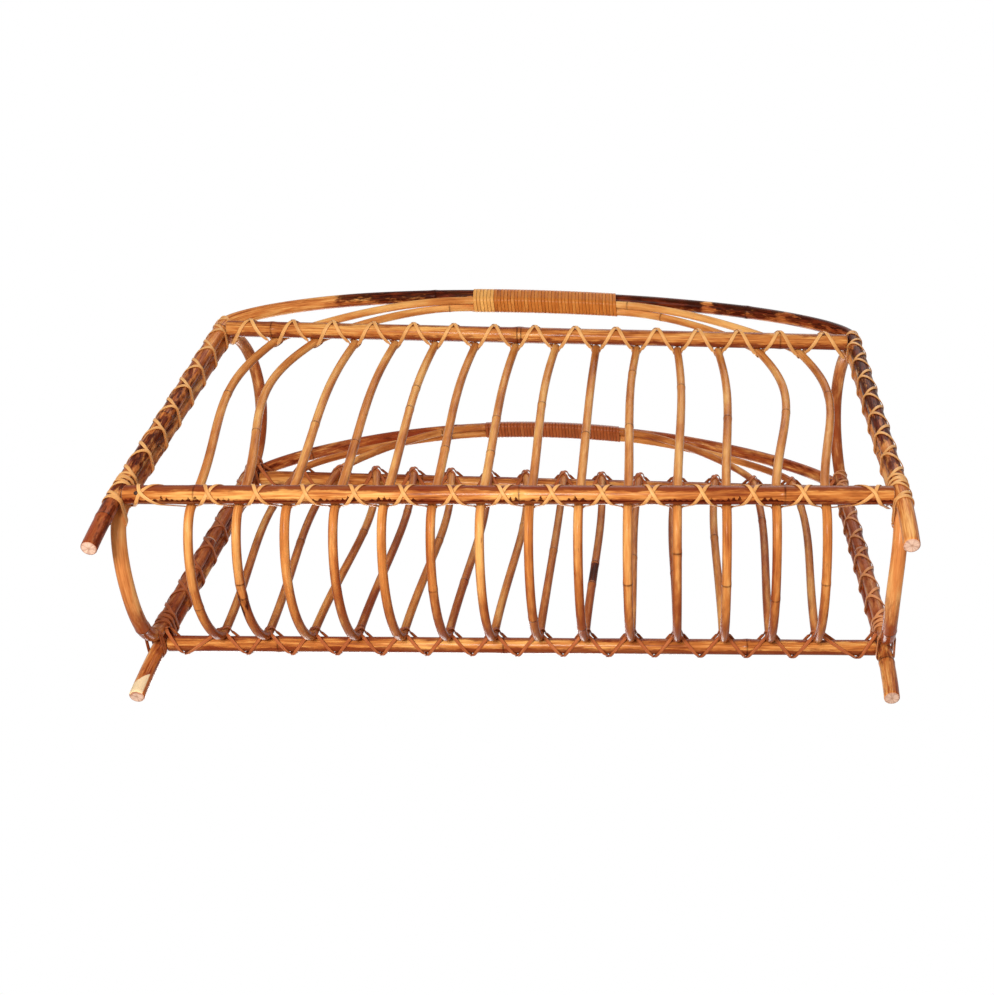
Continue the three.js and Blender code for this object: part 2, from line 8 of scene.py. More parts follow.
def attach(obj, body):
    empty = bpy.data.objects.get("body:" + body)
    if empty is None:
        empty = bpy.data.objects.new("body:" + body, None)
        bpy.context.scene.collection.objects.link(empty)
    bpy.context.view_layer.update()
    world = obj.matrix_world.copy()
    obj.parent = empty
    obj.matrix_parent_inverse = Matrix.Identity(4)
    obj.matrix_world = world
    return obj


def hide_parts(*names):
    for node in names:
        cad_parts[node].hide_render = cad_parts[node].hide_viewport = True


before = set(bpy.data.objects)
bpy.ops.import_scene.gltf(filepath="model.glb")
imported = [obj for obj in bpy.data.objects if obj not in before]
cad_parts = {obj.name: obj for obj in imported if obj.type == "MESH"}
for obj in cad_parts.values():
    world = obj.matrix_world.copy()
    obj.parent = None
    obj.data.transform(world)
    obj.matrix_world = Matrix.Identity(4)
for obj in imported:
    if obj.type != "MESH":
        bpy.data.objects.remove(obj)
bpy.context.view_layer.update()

# The side frames
# Each side of the rack is one bamboo cane, bent from a front foot over the handle to the other
# foot. It is varnished red-brown, scorched dark where it was heated to be bent, and cut off
# square at its feet, where its pale end grain shows.

NEAR = -1
FAR = 1
LEFT = -1
RIGHT = 1
SIDES = {"near": NEAR, "far": FAR}
ENDS = {"left": LEFT, "right": RIGHT}

bottom_rod_height = 0.055
top_rod_height = 0.272
rod_rise = top_rod_height - bottom_rod_height
bottom_half_span = 0.255
top_half_span = 0.2502
foot_half_span = 0.2527
bottom_half_depth = 0.0635
top_half_depth = 0.0706
depth_slope = (top_half_depth - bottom_half_depth) / rod_rise
arch_rise = 0.085
arch_lean = 0.006
shoulder_height = 0.2792
arch_height_top = top_rod_height + arch_rise
arch_bends = {LEFT: 1.5, RIGHT: 1.3}
top_twist = 0.0078
frame_radius = 0.0052
clearance = 0.00035


def half_depth(z):
    """Half the rack's depth at a height, which grows evenly from the bottom rods upwards."""
    return bottom_half_depth + depth_slope * (z - bottom_rod_height)


def half_span(z):
    """Half the span of the legs: they lean in evenly above the bottom rods, and curve in by the
    square of the drop below them."""
    share = np.clip((z - bottom_rod_height) / rod_rise, 0, 1)
    below = np.maximum(1 - z / bottom_rod_height, 0)
    lean = (bottom_half_span - top_half_span) * share
    return bottom_half_span - lean - (bottom_half_span - foot_half_span) * below**2


def arch_points(side, x):
    """The arch: its height over the shoulders is a power of the cosine of x over the half span,
    and it goes on with the legs' outward slope before it leans in by the square of its height."""
    cosine = np.sqrt(np.maximum(1 - (x / top_half_span) ** 2, 0))
    bend = np.where(x < 0, arch_bends[LEFT], arch_bends[RIGHT])
    z = shoulder_height + (arch_height_top - shoulder_height) * cosine**bend
    over = np.maximum(z - top_rod_height, 0)
    inward = (arch_lean + depth_slope * arch_rise) / arch_rise**2
    depth = top_half_depth + depth_slope * over - inward * over**2
    return np.stack([x, side * depth, z], axis=-1)


def turned(points):
    """The rack's twist of age: y moves in proportion to the height over the bottom rods times x."""
    share = (points[..., 2] - bottom_rod_height) / rod_rise
    moved = points.copy()
    moved[..., 1] += top_twist * share * points[..., 0] / bottom_half_span
    return moved


def resampled(points, spacing, carried=None, extra=()):
    """A line's points read off again at even steps of its length and at any extra lengths, with
    what is carried along it, and the length at each."""
    steps = np.linalg.norm(np.diff(points, axis=0), axis=1)
    length = np.concatenate([[0], np.cumsum(steps)])
    places = np.linspace(0, length[-1], int(np.ceil(length[-1] / spacing)) + 1)
    places = np.union1d(places, np.clip(extra, 0, length[-1]))
    rows = points if carried is None else np.concatenate([points, carried], axis=1)
    columns = [np.interp(places, length, column) for column in rows.T]
    return np.stack(columns, axis=1), places


def eased(points, reach):
    """A line with its corners eased: each point becomes the mean of those within reach of it, and
    the line is carried on through its ends by point reflection so that they stay."""
    before = 2 * points[0] - points[reach:0:-1]
    after = 2 * points[-1] - points[-2 : -reach - 2 : -1]
    padded = np.concatenate([before, points, after])
    total = np.cumsum(np.concatenate([np.zeros((1, points.shape[1])), padded]), axis=0)
    width = 2 * reach + 1
    return (total[width:] - total[:-width]) / width


def unit(vectors):
    """Vectors divided by their lengths."""
    return vectors / np.maximum(np.linalg.norm(vectors, axis=-1, keepdims=True), 1e-12)


def new_piece(name, points, faces, finish, **attributes):
    """A mesh piece from its corners and faces, smooth, with its place in its mesh, one number or
    vector for each corner in each attribute, and riding on the rack's one body."""
    mesh = bpy.data.meshes.new(name)
    mesh.from_pydata(turned(points).tolist(), [], faces)
    for title, values in attributes.items():
        kind, field = ("FLOAT", "value") if values.ndim == 1 else ("FLOAT_VECTOR", "vector")
        layer = mesh.attributes.new(title, kind, "POINT")
        layer.data.foreach_set(field, values.ravel())
    mesh.polygons.foreach_set("use_smooth", np.ones(len(mesh.polygons), dtype=bool))
    mesh.materials.append(finish)
    mesh.update()
    piece = bpy.data.objects.new(name, mesh)
    bpy.context.scene.collection.objects.link(piece)
    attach(piece, "root")
    return piece


def tube_faces(rings, sides):
    """Faces that join each ring of corners to the next one, and one face over each end ring."""
    ring, corner = np.meshgrid(np.arange(rings - 1), np.arange(sides), indexing="ij")
    after = (corner + 1) % sides
    a, b = ring * sides + corner, ring * sides + after
    quads = np.stack([a, b, b + sides, a + sides], axis=-1).reshape(-1, 4)
    first = np.arange(sides)[::-1]
    last = (rings - 1) * sides + np.arange(sides)
    return quads.tolist() + [first.tolist(), last.tolist()]


def bump_sum(places, middles, width):
    """The sum of one bell curve for each middle, each as wide as width and 1 high."""
    away = (places[:, None] - np.asarray(middles)) / width
    return np.exp(-(away**2)).sum(axis=1)


ring_spacing = 0.0022
ease_reach = 3
rings_at_node = np.array([-0.002, -0.001, -0.0005, 0, 0.0005, 0.001, 0.002])
node_width = 0.0026
node_swell = 0.06
node_line_width = 0.0006
waver_length = 0.083
waver_size = 0.01
cut_chamfer = 0.0005
cut_rings = (0.02, 0.3, 0.55, 0.8)


def cane_piece(name, path, radius, finish, reference, sides, nodes, scorch, stain_and_painted_light, seed,
               spacing=ring_spacing, chip=None, level_ends=False):
    """A cane: a circle carried along a path. Its radius swells by a bell curve at each growth
    node and wavers slowly by a sine, and its last rings shrink to the middle of each cut end.
    grain holds each corner's place round and along the cane, and scorch, stain and chip say how
    burnt, how red and how bare each corner is. On some canes the redness is partly painted shade
    and painted highlight."""
    even, _ = resampled(path, spacing)
    node_rings = (np.array(nodes)[:, None] + rings_at_node).ravel()
    points, length = resampled(eased(even, ease_reach), spacing, extra=node_rings)
    tangent = unit(np.gradient(points, axis=0))
    if level_ends:
        tangent[0], tangent[-1] = (0, 0, 1), (0, 0, -1)
    across = unit(np.cross(reference, tangent))
    up = np.cross(tangent, across)
    swell = node_swell * bump_sum(length, nodes, node_width)
    waver = waver_size * np.sin(2 * np.pi * length / waver_length + 7 * seed)
    end_size = np.array([*cut_rings, 1 - cut_chamfer / radius]) * radius
    cut_count = len(end_size)
    last = len(points) - 1
    place = np.concatenate([np.zeros(cut_count, int), np.arange(last + 1), np.full(cut_count, last)])
    ring_size = np.concatenate([end_size, radius * (1 + swell + waver), end_size[::-1]])
    shift = np.zeros(len(place))
    shift[cut_count], shift[-cut_count - 1] = cut_chamfer, -cut_chamfer
    ends = np.zeros(len(place))
    ends[:cut_count] = ends[-cut_count:] = 1
    angle = np.arange(sides) / sides * 2 * np.pi
    circle = np.stack([np.cos(angle), np.sin(angle)], axis=1)
    spokes = circle @ np.stack([across[place], up[place]], axis=1)
    middle = points[place] + shift[:, None] * tangent[place]
    corners = middle[:, None, :] + ring_size[:, None, None] * spokes

    def spread(values):
        return np.repeat(values, sides)

    around = np.tile(radius * circle, (len(place), 1))
    burn = scorch(corners, middle).ravel()
    chipped = 0 * burn if chip is None else chip(corners, middle).ravel()
    return new_piece(
        name, corners.reshape(-1, 3), tube_faces(len(place), sides), finish,
        grain=np.column_stack([around, spread(length[place] + seed)]),
        node=spread(bump_sum(length, nodes, node_line_width)[place]), cut=np.maximum(spread(ends), chipped),
        core=spread(ring_size / radius) * (1 + 0.5 * chipped), burn=burn,
        red=stain_and_painted_light(corners, middle).ravel(),
    )


class Value:
    """A number in a shader. An expression on Values adds the Math nodes that work it out."""

    def __init__(self, nodes, socket):
        self.nodes = nodes
        self.socket = socket

    def maths(self, operation, *values):
        return self.nodes.node("ShaderNodeMath", {"operation": operation}, dict(enumerate(values)))

    def __add__(self, other):
        return self.maths("ADD", self, other)

    def __sub__(self, other):
        return self.maths("SUBTRACT", self, other)

    def __rsub__(self, other):
        return self.maths("SUBTRACT", other, self)

    def __mul__(self, other):
        return self.maths("MULTIPLY", self, other)

    __radd__, __rmul__ = __add__, __mul__

    def least(self, other):
        return self.maths("MINIMUM", self, other)

    def most(self, other):
        return self.maths("MAXIMUM", self, other)

    def step(self, low, high):
        """0 up to low, 1 from high on, and a smooth rise between."""
        sockets = {"Value": self, "From Min": low, "From Max": high}
        return self.nodes.node("ShaderNodeMapRange", {"interpolation_type": "SMOOTHSTEP"}, sockets)


class Nodes:
    """The nodes of one material, or of the studio's world."""

    def __init__(self, tree):
        self.tree = tree

    def node(self, kind, settings=None, sockets=None, out=0):
        """A node of any kind: its settings first, then the values or links of its sockets."""
        made = self.tree.nodes.new(kind)
        for title, value in (settings or {}).items():
            if title == "stops":
                ramp = made.color_ramp.elements
                for place, colour in value[1:-1]:
                    ramp.new(place).color = (*colour, 1)
                for element, (place, colour) in zip((ramp[0], ramp[-1]), (value[0], value[-1])):
                    element.position, element.color = place, (*colour, 1)
            else:
                setattr(made, title, value)
        for title, value in (sockets or {}).items():
            self.join(made.inputs[title], value)
        return Value(self, made.outputs[out])

    def join(self, socket, value):
        """Links a Value to a socket, or sets the socket to a plain number, colour or vector."""
        if isinstance(value, Value):
            self.tree.links.new(value.socket, socket)
        elif isinstance(value, tuple) and socket.type == "RGBA" and len(value) == 3:
            socket.default_value = (*value, 1)
        else:
            socket.default_value = value

    def attribute(self, name, out="Fac"):
        """A piece's own attribute: its number, or its vector."""
        return self.node("ShaderNodeAttribute", {"attribute_name": name}, out=out)

    def scaled(self, vector, scale):
        """A vector with each part multiplied."""
        return self.node("ShaderNodeVectorMath", {"operation": "MULTIPLY"}, {0: vector, 1: scale})

    def noise(self, vector, scale, detail, roughness):
        """Soft noise between about 0.25 and 0.75, stretched by the vector's scale."""
        place = self.scaled(vector, scale)
        sockets = {"Vector": place, "Scale": 1.0, "Detail": detail, "Roughness": roughness}
        return self.node("ShaderNodeTexNoise", None, sockets)

    def blend(self, share, first, second):
        """The second colour over the first by a share from 0 to 1."""
        settings = {"data_type": "RGBA", "blend_type": "MIX"}
        return self.node("ShaderNodeMix", settings, {0: share, 6: first, 7: second}, out=2)


class Finish(Nodes):
    """One material of the rack, built around its Principled shader."""

    def __init__(self, name):
        self.material = bpy.data.materials.new(name)
        self.material.use_nodes = True
        super().__init__(self.material.node_tree)
        self.shader = self.tree.nodes["Principled BSDF"]

    def fill(self, sockets):
        """Links or sets the shader's own sockets."""
        for title, value in sockets.items():
            self.join(self.shader.inputs[title], value)

    def bumps(self, height, distance):
        """The normal of a surface raised by a height times a distance."""
        return self.node("ShaderNodeBump", None, {"Height": height, "Distance": distance, "Strength": 1.0})


def shade(red, green, blue):
    """A colour as it looks on screen, each part out of 255, in the shader's linear numbers."""
    parts = [part / 255 for part in (red, green, blue)]
    return tuple(p / 12.92 if p <= 0.04045 else ((p + 0.055) / 1.055) ** 2.4 for p in parts)


pith = shade(196, 164, 140)
end_grain = shade(226, 202, 184)
end_rim = shade(196, 138, 102)
end_fibre = shade(172, 132, 112)
split_wood = shade(255, 230, 184)


def cane_finish(name, tints, gloss, blotch, fine, broken, coat):
    """Varnished cane: a slow mottle from light to dark, fine streaks along the fibres, a dark line
    at each growth node, red-brown and burnt patches with broken edges, bare end grain with its
    pith at each cut, and pale wood where bark is split off, where core is above 1. On some pieces
    the red-brown patches are laid out as painted shade and painted highlight. Each noise's
    numbers are its cells to the metre, twice across the fibres and once along them."""
    light, middle, dark, red_tint, burnt_tint, node_tint = (shade(*tint) for tint in tints)
    finish = Finish(name)
    grain = finish.attribute("grain", "Vector")
    node = finish.attribute("node")
    cut = finish.attribute("cut").step(0.3, 0.7)
    core = finish.attribute("core")
    burn = finish.attribute("burn")
    red = finish.attribute("red")
    mottle = finish.noise(grain, (90, 90, 17), 4.0, 0.6)
    streak = finish.noise(grain, (1000, 1000, 34), 3.0, 0.65)
    patch = finish.noise(grain, (230, 230, 62), 4.0, 0.62)
    tone = (mottle - 0.5) * blotch + (streak - 0.5) * fine + 0.5 - red.least(0.0)
    stops = [(0.0, dark), (0.5, middle), (1.0, light)]
    colour = finish.node("ShaderNodeValToRGB", {"stops": stops}, {"Fac": tone})
    redness = (red * 1.1 + (patch - 0.5) * broken - 0.05).step(0.25, 0.75)
    colour = finish.blend(redness * 0.85, colour, red_tint)
    char = (burn * 1.1 + (patch - 0.5) * 2.1 + (streak - 0.5) * 0.7 - 0.05).step(0.36, 0.66)
    ash = finish.blend((streak * 0.5 + patch * 0.5).step(0.47, 0.62) * 0.55, burnt_tint, red_tint)
    colour = finish.blend(char * 0.95, colour, ash)
    colour = finish.blend(node.least(1.0) * (patch * 2.4 - 0.5).least(0.85).most(0.0), colour, node_tint)
    fibres = finish.noise(grain, (700, 700, 400), 3.0, 0.6)
    bare = finish.blend(core.step(0.0, 0.35), pith, end_grain)
    bare = finish.blend(core.step(0.7, 1.0) * 0.7, bare, end_rim)
    bare = finish.blend(fibres.step(0.42, 0.62) * 0.5, bare, end_fibre)
    bare = finish.blend(core.step(1.1, 1.4) * 0.85, bare, split_wood)
    colour = finish.blend(cut, colour, bare)
    finish.fill({
        "Base Color": colour, "Roughness": (mottle - 0.5) * 0.3 + gloss + cut * 0.4,
        "Coat Weight": (1 - cut) * (1 - char * 0.9) * coat, "Coat Roughness": 0.17,
        "Specular IOR Level": 0.03, "Normal": finish.bumps(mottle * 0.6 + streak * 0.3 + node * 1.2, 0.00015),
    })
    return finish.material


frame_cane = cane_finish(
    "frame_cane", ((246, 182, 104), (208, 124, 60), (140, 60, 26), (146, 60, 28), (42, 6, 4), (50, 18, 10)),
    gloss=0.3, blotch=2.6, fine=2.2, broken=1.9, coat=0.1,
)

frame_nodes = {
    NEAR: (0.03, 0.145, 0.27, 0.455, 0.72, 0.86, 1.02, 1.16),
    FAR: (0.07, 0.19, 0.33, 0.46, 0.6, 0.75, 0.9, 1.06),
}
frame_sides = 28
arch_start = shoulder_height + 0.004


def outer_share(corners, middle, side):
    """How far a corner is on the outer upper side of its cane, from -1 to 1."""
    return (unit(corners - middle[:, None, :]) * (0, side * 0.83, 0.55)).sum(axis=-1)


def near_scorch(corners, middle):
    """How burnt the near cane is: beside the wrap on both sides of the arch, and up both legs. The
    arch is burnt more on its outer upper side."""
    x, z = corners[..., 0], corners[..., 2]
    arch_x = [-0.25, -0.178, -0.155, -0.1, -0.06, 0.05, 0.128, 0.136, 0.148, 0.2, 0.235, 0.25]
    arch_burn = [0.15, 0.25, 0.8, 0.85, 0.95, 1.0, 1.0, 0.4, 0.9, 0.68, 0.78, 0.62]
    left_z = [0.0, 0.05, 0.09, 0.18, 0.22, 0.27]
    left_burn = [0.42, 0.48, 0.58, 0.54, 0.26, 0.1]
    right_z = [0.0, 0.05, 0.08, 0.16, 0.24, 0.28]
    right_burn = [0.0, 0.12, 0.5, 0.64, 0.7, 0.6]
    legs = np.where(x < 0, np.interp(z, left_z, left_burn), np.interp(z, right_z, right_burn))
    outer = np.clip(0.85 + 0.35 * outer_share(corners, middle, NEAR), 0, 1)
    return np.where(z > arch_start, np.interp(x, arch_x, arch_burn) * outer, legs)


def far_scorch(corners, middle):
    """The far cane is burnt a little along its legs, and more over its shoulders."""
    x, z = corners[..., 0], corners[..., 2]
    arch = np.interp(np.abs(x), [0, 0.1, 0.2, 0.25], [0.05, 0.12, 0.3, 0.42])
    legs = np.interp(z, [0, 0.06, 0.12, 0.27], [0.12, 0.22, 0.34, 0.42])
    return np.where(z > arch_start, arch, legs)


def golden_spot(corners, place, reach):
    """A bell curve in x and z on the near side, 1 at a place and falling off by a reach."""
    x, z = corners[..., 0], corners[..., 2]
    away = ((x - place[0]) / reach[0]) ** 2 + ((z - place[1]) / reach[1]) ** 2
    return np.exp(-away) * (corners[..., 1] < 0)


def frame_red(corners, middle):
    """The frame canes are red-brown all over, the near feet more so and the far feet less, but for
    golden spots at the near right foot and the near left shoulder. The far cane is a little
    redder all over, which is painted shade."""
    right_foot = golden_spot(corners, (0.253, 0.02), (0.03, 0.05))
    left_shoulder = golden_spot(corners, (-0.225, 0.285), (0.06, 0.09))
    foot = np.clip((0.06 - corners[..., 2]) / 0.02, 0, 1) * np.where(corners[..., 1] < 0, 0.35, -0.3)
    # Painted shade: the far cane is made a little redder.
    far = (corners[..., 1] > 0) * 0.12
    return 0.52 + far + foot - 0.9 * right_foot - 0.75 * left_shoulder


# The split bark's wedge: the directions across it and out of its face, its lowest height, how
# that grows across it, and where across it ends
chip_across = (0.84, 0.54, 0)
chip_facing = (0.54, -0.84, 0)
chip_low = 0.0094
chip_slope = 0.0073
chip_end = 0.45


def far_chip(corners, middle):
    """The bark is split off the far left foot in a wedge. Its height grows evenly across the foot
    to a point, and it ends there along the grain."""
    spokes = unit(corners - middle[:, None, :])
    across = (spokes * chip_across).sum(axis=-1)
    facing = (spokes * chip_facing).sum(axis=-1)
    height = chip_low + chip_slope * (1 + across)
    below = np.clip((height - corners[..., 2]) / ring_spacing + 0.5, 0, 1)
    before = np.clip((chip_end - across) / 0.25 + 0.5, 0, 1)
    return below * before * ((facing > -0.2) & (corners[..., 0] < 0))


for side_name, side in SIDES.items():
    rise = np.linspace(0, shoulder_height, 130)
    left_leg = np.stack([-half_span(rise), side * half_depth(rise), rise], axis=1)
    swing = np.linspace(-np.pi / 2, np.pi / 2, 700)[1:-1]
    arch = arch_points(side, top_half_span * np.sin(swing))
    right_leg = left_leg[::-1] * (-1, 1, 1)
    side_frame = cane_piece(
        f"{side_name}_frame_cane", np.concatenate([left_leg, arch, right_leg]), frame_radius, frame_cane,
        (0, 1, 0), frame_sides, frame_nodes[side], near_scorch if side == NEAR else far_scorch,
        frame_red, 0.37 * side, chip=far_chip if side == FAR else None, level_ends=True,
    )
    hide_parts(f"{side_name}_frame")

# The rods
# Four straight canes run along the rack from leg to leg, two at the bottom of its sides and two
# at the top. They are nailed through their ends to the legs, and the ribs are laced to them.

rod_radius = 0.0062
far_bottom_rod_radius = 0.0055
rod_sides = 32
flecked_sides = 56
flecked_spacing = 0.0007

rod_cane = cane_finish(
    "rod_cane", ((246, 184, 104), (202, 122, 58), (132, 60, 24), (122, 44, 20), (66, 16, 6), (70, 26, 10)),
    gloss=0.26, blotch=2.4, fine=1.8, broken=1.9, coat=0.13,
)


def rod_size(side, level):
    """The radius of the rod at this side and level: the far bottom one is thinner."""
    return far_bottom_rod_radius if (side, level) == (FAR, "bottom") else rod_radius


LEVELS = {"top": top_rod_height, "bottom": bottom_rod_height}
rod_nodes = {
    "near_top": (0.036, 0.231, 0.234, 0.437), "near_bottom": (0.0475, 0.26, 0.43),
    "far_top": (0.14, 0.33), "far_bottom": (0.08, 0.24, 0.41),
}
# The painted highlight along each rod, a golden band on the side that faces the key lamp: the
# angle of its middle up from the rack's outside, its reach to either side, and how red the rest is
rod_highlight_bands = {
    "near_top": (math.radians(-50), math.radians(42), 0.8),
    "near_bottom": (math.radians(-58), math.radians(31), 0.95),
    "far_top": (math.radians(-124), math.radians(40), 0.65),
    "far_bottom": (math.radians(-140), math.radians(38), 0.98),
}
fleck_pitch = 0.0042
fleck_height = math.radians(34)
fleck_burn = 0.78
# How far the flecks stray along the rod, and the lengths over which their places, their groups
# and their heights waver
fleck_stray = 0.0016
stray_length = 0.0057
group_length = 0.019
height_length = 0.0033

for side_name, side in SIDES.items():
    for level, height in LEVELS.items():
        rod_name = f"{side_name}_{level}"
        half = half_span(height) - frame_radius - clearance
        x = np.linspace(-half, half, 200)
        line = np.stack([x, 0 * x + side * half_depth(height), 0 * x + height], axis=1)
        highlight_angle, highlight_reach, red_share = rod_highlight_bands[rod_name]
        flecked = rod_name == "near_bottom"

        def rod_angle(corners, middle):
            """The angle of each corner round the rod, from the middle of the painted highlight band."""
            spokes = corners - middle[:, None, :]
            angle = np.arctan2(spokes[..., 2], side * spokes[..., 1]) - highlight_angle
            return (angle + np.pi) % (2 * np.pi) - np.pi

        def rod_red(corners, middle):
            """Red but for the painted highlight, a golden band, which is a bell curve of the angle from its
            middle.
            """
            return red_share * (1 - np.exp(-((rod_angle(corners, middle) / highlight_reach) ** 2)))

        def rod_flecks(corners, middle):
            """Dark flecks along the lower edge of the painted highlight band: a row of wedges, which
            rise and fall with x and whose places and heights waver by sines of it, or a faint bell curve."""
            x, angle = corners[..., 0], rod_angle(corners, middle)
            if not flecked:
                return 0.2 * np.exp(-(((angle + highlight_reach) / math.radians(16)) ** 2))
            moved = x + fleck_stray * np.sin(x / stray_length)
            wedge = 1 - np.abs(2 * ((moved / fleck_pitch) % 1) - 1)
            group = np.clip(0.7 + 0.6 * np.sin(x / group_length), 0, 1)
            edge = fleck_height * wedge * group * (0.72 + 0.42 * np.sin(x / height_length))
            inside = np.clip((edge - 1.2 * highlight_reach - angle) / math.radians(5) + 0.5, 0, 1)
            return fleck_burn * inside * np.clip((angle + 1.7 * highlight_reach) / math.radians(14), 0, 1)

        rod = cane_piece(
            f"{rod_name}_rod_cane", line, rod_size(side, level), rod_cane, (0, 0, 1),
            flecked_sides if flecked else rod_sides, rod_nodes[rod_name], rod_flecks, rod_red,
            1.1 * side + 2.3 * (level == "top"), spacing=flecked_spacing if flecked else ring_spacing,
        )
        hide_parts(f"{rod_name}_rod")

# The ribs
# Fourteen thin canes are bent to a U under the trough and laced to the rods' inner sides. The
# ten middle ones end at the top rods. The two at each end go on up and along the handles.

rib_count = 14
handle_ribs = (0, 1, rib_count - 2, rib_count - 1)
inner_handle_ribs = (1, rib_count - 2)
rib_radius = 0.0031
rib_sides = 16
rib_ring_spacing = 0.0019
rib_pitch = 0.032
rib_sag = 0.026
rib_top_overrun = 0.0005
rib_bow = 0.02
sag_bend = 1.4
bow_peak = 1.7
bow_shares = {
    NEAR: [-0.8, -1, -0.3, -0.25, -0.2, -0.2, -0.15, -0.18, -0.05, -0.15, 0.15, 0.25, 0.8, 0.8],
    FAR: [-0.48, -0.35, 0.45, 0.3, 0.35, 0.25, 0.3, 0.05, 0.15, -0.1, -0.2, -0.15, 0.2, 0.3],
}
wrap_length = 0.123
wrap_lead = 0.0051
leave_share = 0.09
arrive_share = 0.4


def rib_x(index):
    """A rib's place along the rods, one pitch from the next."""
    return (index - (rib_count - 1) / 2) * rib_pitch


def rib_inset(side, z):
    """From a rod's axis in to the axis of the rib against it, between the two rods' own insets."""
    share = np.clip((z - bottom_rod_height) / rod_rise, 0, 1)
    lower = rod_size(side, "bottom")
    return lower + (rod_radius - lower) * share + rib_radius + clearance


def rib_upright(index, side, z):
    """A rib beside its rods: it bows along X by the sine of a power of the height's share."""
    share = np.clip((z - bottom_rod_height) / rod_rise, 0, 1)
    bow = rib_bow * bow_shares[side][index] * np.sin(np.pi * share**bow_peak)
    return np.stack([rib_x(index) + bow, side * (half_depth(z) - rib_inset(side, z)), z + 0 * bow], axis=1)


def handle_slot(index, side, x):
    """A handle cane's place under the arch cane, or beside the first one for an inner rib."""
    points = arch_points(side, x)
    points[..., 2] -= frame_radius + rib_radius + clearance
    if index in inner_handle_ribs:
        points[..., 1] -= side * (2 * rib_radius + clearance)
    return points


def handle_run(index, side):
    """An outer rib above the top rod: a cubic Bezier curve to the wrap, and on to its middle."""
    end = math.copysign(1, rib_x(index))
    top = rib_upright(index, side, np.array([top_rod_height - rod_radius, top_rod_height]))
    wrap_start = end * (wrap_length / 2 + wrap_lead)
    inner = handle_slot(index, side, np.array([wrap_start, wrap_start - end * wrap_lead]))
    run = np.linalg.norm(inner[0] - top[1])
    pull_out = top[1] + unit(top[1] - top[0]) * run * leave_share
    pull_in = inner[0] + unit(inner[0] - inner[1]) * run * arrive_share
    t = np.linspace(0, 1, 90)[1:, None]
    first = (1 - t) ** 3 * top[1] + 3 * (1 - t) ** 2 * t * pull_out
    second = 3 * (1 - t) * t**2 * pull_in + t**3 * inner[0]
    held = handle_slot(index, side, np.linspace(wrap_start, end * clearance, 40)[1:])
    return np.concatenate([first + second, held])


def rib_side(index, side):
    """One side of a rib, from the bottom rod to its end."""
    upright = rib_upright(index, side, np.linspace(bottom_rod_height, top_rod_height, 120))
    if index in handle_ribs:
        return np.concatenate([upright, handle_run(index, side)])
    return np.concatenate([upright, upright[-1:] + (0, 0, rib_top_overrun)])


def sag_points(x, near_reach, far_reach, sag):
    """The bottom of a rib or hoop: y is a sine of the angle and the drop a power of its cosine."""
    angle = np.linspace(-np.pi / 2, np.pi / 2, 120)[1:-1]
    reach = np.where(angle < 0, near_reach, far_reach)
    z = bottom_rod_height - sag * np.cos(angle) ** sag_bend
    return np.stack([x + 0 * angle, reach * np.sin(angle), z], axis=1)


rib_cane = cane_finish(
    "rib_cane", ((244, 184, 108), (210, 132, 66), (152, 76, 34), (146, 66, 32), (46, 8, 6), (70, 22, 10)),
    gloss=0.28, blotch=2.4, fine=0.9, broken=0.9, coat=0.06,
)

# The growth nodes of each rib, as lengths from the rib's near end
rib_nodes = [
    (0.05, 0.31, 0.52, 0.733, 0.93), (0.08, 0.334, 0.474, 0.485, 0.66, 0.87), (0.12, 0.33, 0.47),
    (0.143, 0.35, 0.5), (0.069, 0.098, 0.32, 0.46), (0.15, 0.274, 0.406), (0.11, 0.155, 0.33, 0.482),
    (0.09, 0.3, 0.448), (0.13, 0.31, 0.404, 0.431), (0.041, 0.119, 0.269, 0.44), (0.061, 0.248, 0.42),
    (0.106, 0.27, 0.47), (0.1, 0.299, 0.485, 0.7, 0.9), (0.07, 0.299, 0.5, 0.75, 0.96),
]
burnt_rib = 8
singed_rib = 1


def rib_red(corners, middle):
    """The bottom of a rib's bend is redder than the rest, and along the near handle it is paler, which
    is below 0. Its far side and its flanks are redder too, which is painted shade."""
    y, z = corners[..., 1], corners[..., 2]
    # Painted shade: the far side and the flanks, which face along the rods, are made redder.
    far_share = np.clip(0.5 + y / 0.08, 0, 1)
    bottom = np.exp(-(((z - 0.033) / 0.022) ** 2))
    flank = (unit(corners - middle[:, None, :])[..., 0]) ** 2
    tone = 0.12 * np.sin(2.7 * index)
    handle = 0.24 * np.clip((z - 0.285) / 0.015, 0, 1) * (y < 0)
    return tone + 0.36 * far_share + 0.2 * bottom + 0.32 * flank - handle


def rib_scorch(corners, middle):
    """Two ribs have a dark stretch: one behind, between two of its nodes, and one at its bend."""
    y, z = corners[..., 1], corners[..., 2]
    if index == burnt_rib:
        return 2.0 * ((z > 0.1175) & (z < 0.141) & (y > 0))
    if index == singed_rib:
        return 0.6 * np.exp(-(((y - 0.006) / 0.018) ** 2)) * (z < 0.05)
    return 0 * y


for index in range(rib_count):
    near_side, far_side = rib_side(index, NEAR), rib_side(index, FAR)
    reach = [half_depth(bottom_rod_height) - rib_inset(side, bottom_rod_height) for side in (NEAR, FAR)]
    path = np.concatenate([near_side[::-1], sag_points(rib_x(index), *reach, rib_sag), far_side])
    reference = (1, 1, 1) if index in handle_ribs else (1, 0, 0)
    rib = cane_piece(
        f"rib_{index + 1:02d}_cane", path, rib_radius, rib_cane, reference, rib_sides, rib_nodes[index],
        rib_scorch, rib_red, 0.61 * index, spacing=rib_ring_spacing,
    )
    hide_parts(f"rib_{index + 1:02d}")

# The end hoops
# Each end of the trough is closed by a hoop of cane. It lies inside the two legs, is bound to
# them all the way up, and its two ends butt together under the far leg's binding.

